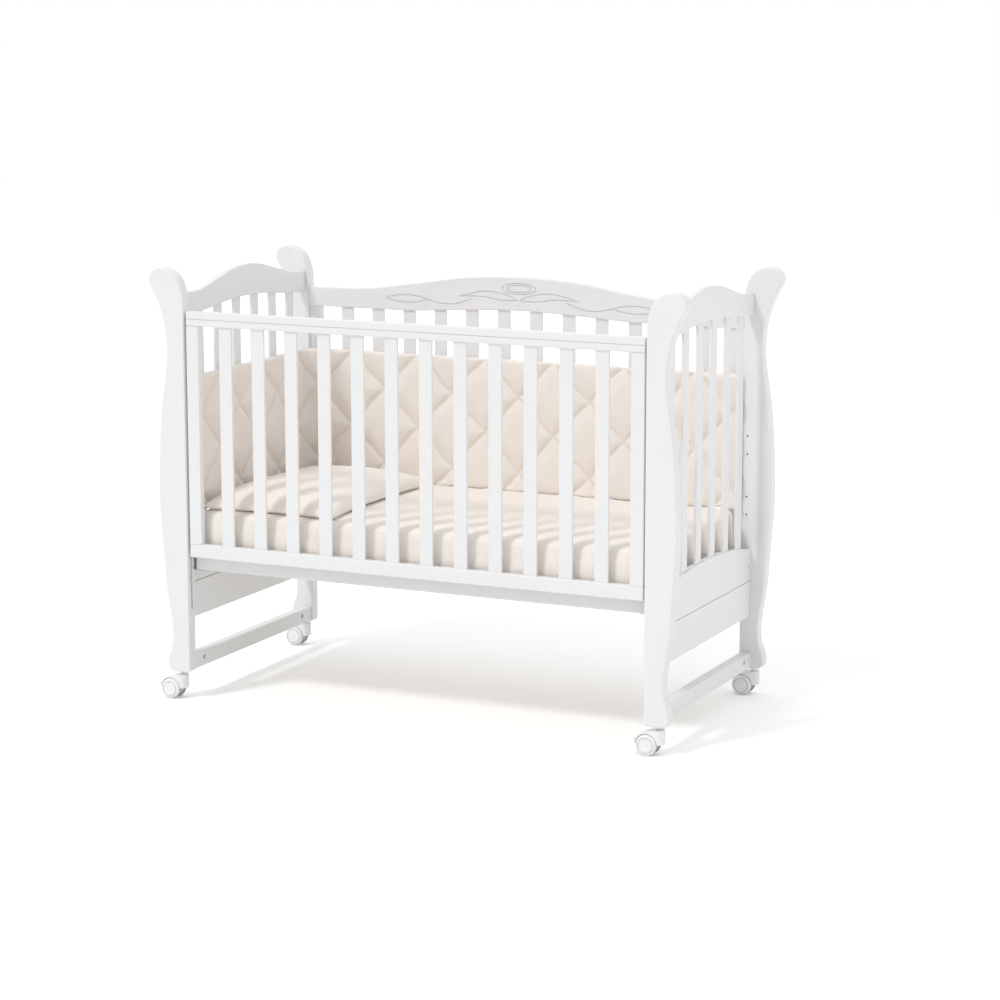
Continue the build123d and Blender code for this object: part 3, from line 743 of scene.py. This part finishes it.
@dataclass
class Bumper:
    """Quilted bumper along the left end and the back."""

    half_x: float = 0.5968
    back_y: float = 0.2858
    front_y: float = -0.288
    right_x: float = 0.600
    bend: float = 0.034
    top: float = 0.803
    half_diamond: float = 0.095
    half_cells: int = 12
    rows: int = 42
    crossing: float = 0.0098
    stretch: float = 1.0135
    seam: float = 0.0012
    loft: float = 0.0124
    backing: float = 0.0090
    rim: float = 0.0085
    crease: float = 0.0090
    steep_share: float = 0.72
    broad_share: float = 0.28
    broad_reach: float = 0.067
    broad_power: float = 0.7
    pinch: float = 0.0034
    notch_wide: float = 0.006
    notch_high: float = 0.008
    notch_deep: float = 0.0022
    outermost: float = 0.0100
    innermost: float = 0.0130
    row_margin: float = 1.2
    row_points: int = 6
    thread_lift: float = 0.0002
    along_waves: Sequence[Wave] = ((0.0016, 71, 19), (0.0010, 33, -47))
    down_waves: Sequence[Wave] = ((0.0016, 63, 23), (0.0010, 29, -51))
    stuffing: Stuffing = field(
        default_factory=lambda: Stuffing(pressure=5.0, cap=0.0022, slack=0.012))

    @property
    def cell(self) -> float:
        """Side of one cell of the strip's grid."""
        return self.half_diamond / self.half_cells

    @property
    def repeat(self) -> int:
        """Cells across one whole diamond."""
        return 2 * self.half_cells

    @property
    def side(self) -> float:
        """Length of the straight run along one end."""
        return self.back_y - self.bend - self.front_y

    @property
    def arc(self) -> float:
        """Length of one rounded corner."""
        return math.pi * self.bend / 2

    @property
    def back(self) -> float:
        """Length of the straight run along the back."""
        return self.half_x - self.bend + self.right_x

    @property
    def length(self) -> float:
        """Length of the strip along its path."""
        return self.side + self.arc + self.back

    @property
    def columns(self) -> int:
        """Whole cells along the strip."""
        return round(self.length / self.cell)

    @property
    def shift(self) -> int:
        """Cells by which the diamonds start before the strip."""
        middle = self.side + self.arc + self.half_x - self.bend
        place = middle + self.crossing + self.half_diamond
        return -round(place / self.cell) % self.repeat

    def _path(self, along: np.ndarray, out: np.ndarray) -> np.ndarray:
        """Plan position of the strip.

        Args:
            along: distance from the front of the left end.
            out: distance from the middle surface towards the bed.

        Returns:
            X and Y for each pair.
        """
        angle = np.clip((along - self.side) / self.arc, 0, 1) * math.pi / 2
        run = np.maximum(along - self.side - self.arc, 0)
        x = -self.half_x + self.bend * (1 - np.cos(angle)) + run
        y = self.front_y + np.minimum(along, self.side) + self.bend * np.sin(angle)
        return np.stack([x + out * np.cos(angle), y - out * np.sin(angle)], axis=1)

    def _seam_distance(self, i: np.ndarray, j: np.ndarray) -> np.ndarray:
        """Distance to the nearest quilting line.

        Args:
            i: place along the strip in cells.
            j: place down from the top in cells.

        Returns:
            Metres to the nearest line.
        """
        falling = (i + self.shift + j) % self.repeat
        rising = (i + self.shift - j) % self.repeat
        nearest = np.minimum(np.minimum(falling, self.repeat - falling),
                             np.minimum(rising, self.repeat - rising))
        return nearest * self.cell / math.sqrt(2)

    def _rim_share(self, i: np.ndarray, j: np.ndarray) -> np.ndarray:
        """Share of the thickness near the strip's rims."""
        away = np.minimum(np.minimum(i, self.columns - i), np.minimum(j, self.rows - j))
        return rim_rounding(away * self.cell, self.rim)

    def _height(self, i: np.ndarray, j: np.ndarray, full: float) -> np.ndarray:
        """Thickness from the middle surface of the quilted, stuffed pad.

        Args:
            i: place along the strip in cells.
            j: place down from the top in cells.
            full: thickness at the middle of a puff.

        Returns:
            The thickness.
        """
        away = self._seam_distance(i, j)
        steep = 1 - np.exp(-away / self.crease)
        broad = np.clip(away / self.broad_reach, 0, 1) ** self.broad_power
        puff = self.steep_share * steep + self.broad_share * broad
        return (self.seam + (full - self.seam) * puff) * self._rim_share(i, j)

    def _wobble(self, i: np.ndarray, j: np.ndarray) -> tuple[np.ndarray, np.ndarray]:
        """Small drift of the sewn lines along and down the strip, in metres."""
        along, down = i * self.cell, j * self.cell
        fade = self._rim_share(i / 3, j / 3)
        return (drift(down, along, self.along_waves) * fade,
                drift(along, down, self.down_waves) * fade)

    @staticmethod
    def _steps(count: int) -> np.ndarray:
        """Grid places of one direction, closer together at both rims."""
        close = [0.22, 0.55]
        far = [count - step for step in close[::-1]]
        return np.array([0.0] + close + list(range(1, count)) + far + [count])

    def build(self) -> tuple[bpy.types.Object, list[np.ndarray]]:
        """Makes the strip flat, fills it, and bends it round the bed.

        Returns:
            The bumper, and the lines that its stitches follow.
        """
        i, j = np.meshgrid(self._steps(self.columns), self._steps(self.rows), indexing="ij")
        inner = np.stack([i * self.cell, -self._height(i, j, self.loft), -j * self.cell], axis=-1)
        outer = np.stack([i * self.cell, self._height(i, j, self.backing), -j * self.cell], axis=-1)
        whole = (np.diff(i, axis=0)[:, :-1] > 0.9) & (np.diff(j, axis=1)[:-1] > 0.9)
        rising = (i + self.shift - j)[:-1, :-1] % self.repeat == 0
        falling = (i + self.shift + j)[1:, :-1] % self.repeat == 0
        split = np.where(whole & rising, 1, np.where(whole & falling, 2, 0))
        flat = sewn_shell("bumper_quilt", inner, outer, split)
        start = points_of(flat.data)
        place = (start[:, 0] / self.cell, -start[:, 2] / self.cell)
        lines = self._seam_distance(*place) < 0.0005
        rims = self._rim_share(*place) < 0.6
        self.stuffing.fill(flat, np.flatnonzero(lines | rims))
        subdivided(flat)
        self._finish(flat)
        return flat, self._seam_lines()

    def _finish(self, piece: bpy.types.Object) -> None:
        """Sharpens the creases and bends the strip round the bed."""
        points = points_of(piece.data)
        i, j = points[:, 0] / self.cell, -points[:, 2] / self.cell
        away = self._seam_distance(i, j)
        near = np.exp(-(away / self.pinch) ** 2)
        sewn = np.minimum(np.abs(points[:, 1]), self.seam * self._rim_share(i, j))
        sunk = np.sign(points[:, 1]) * sewn
        out = -(points[:, 1] * (1 - near) + sunk * near)
        drift_u, drift_z = self._wobble(i, j)
        low = j * self.cell / self.notch_high
        notch = np.exp(-(away / self.notch_wide) ** 2) * np.exp(-low ** 2)
        plan = self._path(points[:, 0] + drift_u, np.clip(out, -self.outermost, self.innermost))
        height = self.top + points[:, 2] * self.stretch + drift_z - self.notch_deep * notch
        set_points(piece.data, np.column_stack([plan, height]))

    def _seam_lines(self) -> list[np.ndarray]:
        """Lines of quilting on the side towards the bed."""
        lines: list[np.ndarray] = []
        for sign in (-1, 1):
            for start in range(-self.rows, self.columns + self.rows):
                if (start + self.shift) % self.repeat:
                    continue
                j = np.linspace(self.row_margin, self.rows - self.row_margin, self.rows * 2)
                i = start - sign * j
                j = j[(i >= self.row_margin) & (i <= self.columns - self.row_margin)]
                if len(j) < self.row_points:
                    continue
                i = start - sign * j
                drift_u, drift_z = self._wobble(i, j)
                plan = self._path(i * self.cell + drift_u,
                                  np.full(len(j), self.seam + self.thread_lift))
                height = self.top - j * self.cell * self.stretch + drift_z
                lines.append(np.column_stack([plan, height]))
        return lines


@dataclass
class Mattress:
    """Mattress in a fitted sheet, a rounded block with a slight crown."""

    size: Point = (1.1894, 0.5894, 0.0994)
    bottom: float = 0.3675
    cell: float = 0.0105
    corner: float = 0.045
    edge: float = 0.013
    crown: float = 0.0026
    crown_power: int = 6
    held: float = 0.004
    limit: Point = (0.5958, 0.2962, 0.4712)
    stuffing: Stuffing = field(
        default_factory=lambda: Stuffing(pressure=1.0, cap=0.0022, slack=0.006))

    def build(self) -> bpy.types.Object:
        """Makes the block from a fine box, rounds it and fills it.

        Returns:
            The mattress.
        """
        counts = [max(4, round(side / self.cell)) for side in self.size]
        half = np.array(self.size) / 2
        points, faces = self._box(counts)
        points = self._rounded(points * half, half)
        share = np.clip(1 - (points[:, :2] / half[:2]) ** self.crown_power, 0, 1)
        points[:, 2] += np.where(points[:, 2] > 0, self.crown * share[:, 0] * share[:, 1], 0)
        raised = points + np.array([0, 0, self.bottom + half[2]])
        piece = mesh_piece("mattress_cover", raised, faces)
        self.stuffing.fill(piece, np.flatnonzero(points[:, 2] < -half[2] + self.held))
        subdivided(piece)
        made = points_of(piece.data)
        low = (-self.limit[0], -self.limit[1], self.bottom)
        set_points(piece.data, np.clip(made, low, self.limit))
        return piece

    @staticmethod
    def _box(counts: Sequence[int]) -> tuple[np.ndarray, list[list[int]]]:
        """Cube from -1 to 1 with each side divided.

        Args:
            counts: divisions along X, Y and Z.

        Returns:
            Points and faces, with shared corners.
        """
        found: dict[tuple[int, int, int], int] = {}
        points: list[list[float]] = []
        faces: list[list[int]] = []

        def number(key: tuple[int, int, int]) -> int:
            """Number of a lattice point, made on first use."""
            if key not in found:
                found[key] = len(points)
                points.append([2 * k / n - 1 for k, n in zip(key, counts)])
            return found[key]

        for axis in range(3):
            u, v = (axis + 1) % 3, (axis + 2) % 3
            for level in (0, counts[axis]):
                for a in range(counts[u]):
                    for b in range(counts[v]):
                        corners = []
                        for da, db in ((0, 0), (1, 0), (1, 1), (0, 1)):
                            key = [0, 0, 0]
                            key[axis], key[u], key[v] = level, a + da, b + db
                            corners.append(number(tuple(key)))
                        faces.append(corners if level else corners[::-1])
        return np.array(points), faces

    def _rounded(self, points: np.ndarray, half: np.ndarray) -> np.ndarray:
        """Pulls the points of a box onto rounded corners and edges.

        Args:
            points: the box's points.
            half: half its size.

        Returns:
            The rounded points.
        """
        made = points.copy()
        inner = half[:2] - self.corner
        core = np.clip(made[:, :2], -inner, inner)
        away = made[:, :2] - core
        far = np.linalg.norm(away, axis=1)
        reach = np.abs(away).max(axis=1)
        way = away / np.maximum(far, 1e-9)[:, None]
        side = np.clip(reach - (self.corner - self.edge), 0, self.edge)
        lift = np.clip(np.abs(made[:, 2]) - (half[2] - self.edge), 0, self.edge)
        long = np.maximum(np.hypot(side, lift), 1e-9)
        scale = np.maximum(side, lift) / long
        reach = reach - side + side * scale
        made[:, :2] = core + way * reach[:, None]
        made[:, 2] = np.sign(made[:, 2]) * (np.abs(made[:, 2]) - lift + lift * scale)
        return made


@dataclass
class Pillow:
    """Flat pillow at the left end."""

    centre: tuple[float, float] = (-0.400, -0.0215)
    size: tuple[float, float] = (0.370, 0.536)
    counts: tuple[int, int] = (56, 80)
    seat: float = 0.4668
    drawn: float = 0.013
    upper: float = 0.0495
    lower: float = 0.0110
    gathered: float = 0.55
    even: float = 0.45
    square: float = 2.6
    sag: float = 0.0035
    stuffing: Stuffing = field(
        default_factory=lambda: Stuffing(pressure=2.2, cap=0.006, slack=0.015))

    def build(self) -> bpy.types.Object:
        """Sews two sheets at the rim, fills them, and settles the pillow on the mattress.

        Returns:
            The pillow.
        """
        steps = [np.linspace(-1, 1, count + 1) for count in self.counts]
        spaced = [np.sin(step * math.pi / 2) * self.gathered + step * self.even for step in steps]
        u, v = np.meshgrid(*spaced, indexing="ij")
        x = u * (self.size[0] / 2 - self.drawn * (1 - v ** 2))
        y = v * (self.size[1] / 2 - self.drawn * (1 - u ** 2))
        dome = np.clip((1 - np.abs(u) ** self.square) * (1 - np.abs(v) ** self.square), 0, 1)
        top = np.stack([x, y, self.upper * dome ** 0.5], axis=-1)
        under = np.stack([x, y, -self.lower * dome ** 0.5], axis=-1)
        piece = sewn_shell("pillow_case", under, top, np.zeros(self.counts, int))
        start = points_of(piece.data)
        self.stuffing.fill(piece, np.flatnonzero(start[:, 2] < -0.9 * self.lower))
        subdivided(piece)
        made = points_of(piece.data)
        sag = self.sag * np.sin(made[:, 0] * 17 + 0.6) * np.sin(made[:, 1] * 13 + 0.4)
        share = np.clip(made[:, 2] / self.upper, 0, 1)
        made[:, 2] += np.where(made[:, 2] > 0, sag * share, 0)
        made[:, 2] = np.maximum(made[:, 2] + self.seat + self.lower, self.seat)
        made[:, :2] += self.centre
        set_points(piece.data, made)
        return piece


@dataclass
class Studio:
    """Pale floor, even world light, one soft key and the camera."""

    camera_at: Point = (3.00685, -6.24819, 1.76948)
    yaw: float = 25.045
    pitch: float = 10.436
    roll: float = 0.023
    lens: float = 103.881
    sensor: float = 36.0
    world: float = 0.745
    overhead: float = 0.22
    behind: float = 0.20
    key: float = 1.08
    key_angle: float = 9.0
    key_from: Point = (-0.28, -0.59, 0.76)
    floor_lift: float = 0.14
    floor_tone: Colour = (0.97, 0.97, 0.97)
    floor_reach: float = 14.0

    def build(self) -> None:
        """Adds everything that isn't the crib."""
        self._camera()
        self._world()
        self._key()
        self._floor()
        bpy.context.scene.view_settings.view_transform = "Standard"

    def _camera(self) -> None:
        """Camera solved from the straight edges in view."""
        data = bpy.data.cameras.new("camera")
        data.lens = self.lens
        data.sensor_width = self.sensor
        data.sensor_fit = "HORIZONTAL"
        camera = bpy.data.objects.new("camera", data)
        camera.location = self.camera_at
        camera.rotation_mode = "XYZ"
        turns = (90 - self.pitch, self.roll, self.yaw)
        camera.rotation_euler = [math.radians(turn) for turn in turns]
        bpy.context.scene.collection.objects.link(camera)
        bpy.context.scene.camera = camera

    def _world(self) -> None:
        """Even pale light, and pure white where it is seen directly."""
        world = bpy.data.worlds.new("studio")
        tree = NodeTree(world)
        way = tree.node("ShaderNodeTexCoord")[0]
        bias = tree.node("ShaderNodeVectorMath", {"operation": "DOT_PRODUCT"},
                         {0: way, 1: (0.0, self.behind, self.overhead)})[1]
        inputs = {"Color": WHITE, "Strength": bias + self.world}
        lit = tree.node("ShaderNodeBackground", {}, inputs)[0]
        seen = tree.node("ShaderNodeBackground", {}, {"Color": WHITE, "Strength": 1.0})[0]
        rays = {ray.link.name: ray for ray in tree.node("ShaderNodeLightPath")}
        direct = {0: rays["Is Camera Ray"], 1: rays["Is Glossy Ray"]}
        either = tree.node("ShaderNodeMath", {"operation": "MAXIMUM"}, direct)[0]
        mix = tree.node("ShaderNodeMixShader", {}, {0: either, 1: lit, 2: seen})[0]
        tree.node("ShaderNodeOutputWorld", {}, {"Surface": mix})
        bpy.context.scene.world = world

    def _key(self) -> None:
        """Broad key from the upper left front."""
        data = bpy.data.lights.new("key", "SUN")
        data.energy = self.key
        data.angle = math.radians(self.key_angle)
        light = bpy.data.objects.new("key", data)
        light.rotation_euler = Vector(self.key_from).to_track_quat("Z", "Y").to_euler()
        bpy.context.scene.collection.objects.link(light)

    def _floor(self) -> None:
        """Large pale floor that keeps the crib's shadow."""
        signs = np.array([[-1, -1, 0], [1, -1, 0], [1, 1, 0], [-1, 1, 0]])
        floor = mesh_piece("studio_floor", signs * self.floor_reach, [[0, 1, 2, 3]])
        tree = NodeTree.finish("floor_paper")
        seen = tree.node("ShaderNodeLightPath")[0]
        diffuse = tree.node("ShaderNodeBsdfDiffuse", {}, {"Color": opaque(self.floor_tone)})[0]
        glow = tree.node("ShaderNodeEmission", {}, {"Strength": seen * self.floor_lift})[0]
        both = tree.node("ShaderNodeAddShader", {}, {0: diffuse, 1: glow})[0]
        tree.node("ShaderNodeOutputMaterial", {}, {"Surface": both})
        floor.data.materials.append(tree.owner)


def place_soft(piece: bpy.types.Object, finish: bpy.types.Material,
               nodes: Sequence[str]) -> None:
    """Gives a padded piece its material, hangs it on the frame, and hides the CAD nodes that it
    stands for.

    Args:
        piece: the finished piece.
        finish: its material.
        nodes: the CAD nodes that it replaces.
    """
    piece.data.materials.clear()
    piece.data.materials.append(finish)
    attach(piece, Body.FRAME.value)
    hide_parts(*nodes)
    log.info("%s: %d faces", piece.name, len(piece.data.polygons))


def place_trim(piece: bpy.types.Object) -> None:
    """Lets a small trim piece ride on the frame."""
    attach(piece, Body.FRAME.value)
    log.info("%s: %d faces", piece.name, len(piece.data.polygons))


def main() -> None:
    """Dresses the crib, makes its bedding and sets up the studio."""
    palette = Palette()
    dresser = Dresser(palette)
    for name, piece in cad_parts.items():
        dresser.dress(name, piece)
    stitches = Stitches(palette.thread.material())
    quilt, lines = Bumper().build()
    place_soft(quilt, palette.bumper.material(),
               ("bumper_left", "bumper_back"))
    place_trim(stitches.sew("bumper_stitches", lines))
    cover = Mattress().build()
    place_soft(cover, palette.sheet.material(), ("mattress",))
    case = Pillow().build()
    place_soft(case, palette.pillow.material(), ("pillow",))
    Studio().build()


if __name__ == "__main__":
    main()
